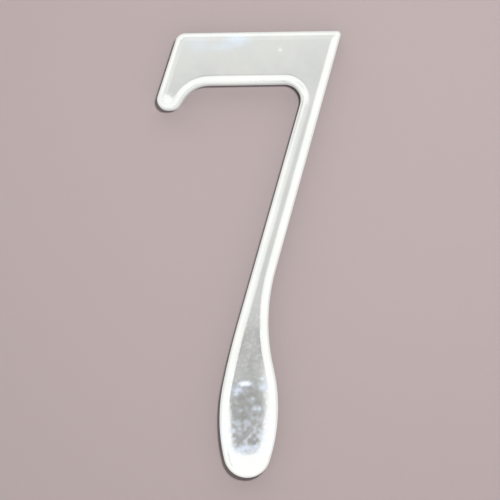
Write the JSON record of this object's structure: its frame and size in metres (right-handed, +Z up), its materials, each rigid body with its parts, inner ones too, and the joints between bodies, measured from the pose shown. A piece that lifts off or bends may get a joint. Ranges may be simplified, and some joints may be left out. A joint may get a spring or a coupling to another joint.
{
  "type": "house number",
  "caption": "Polished stainless steel numeral seven for a door or wall, with a rounded front edge, a teardrop foot and a flat back with tapped blind holes for hidden studs.",
  "frame": {"origin": "on the flat back, midway between the two tapped stud holes", "axes": "+Z up the numeral, +X to the right as it is read, +Y out of the back towards the wall"},
  "size_m": [0.0414, 0.005, 0.1],
  "materials": {
    "polished_steel": "polished"
  },
  "bodies": {
    "root": {"numeral_seven": "polished_steel"}
  },
  "joints": []
}
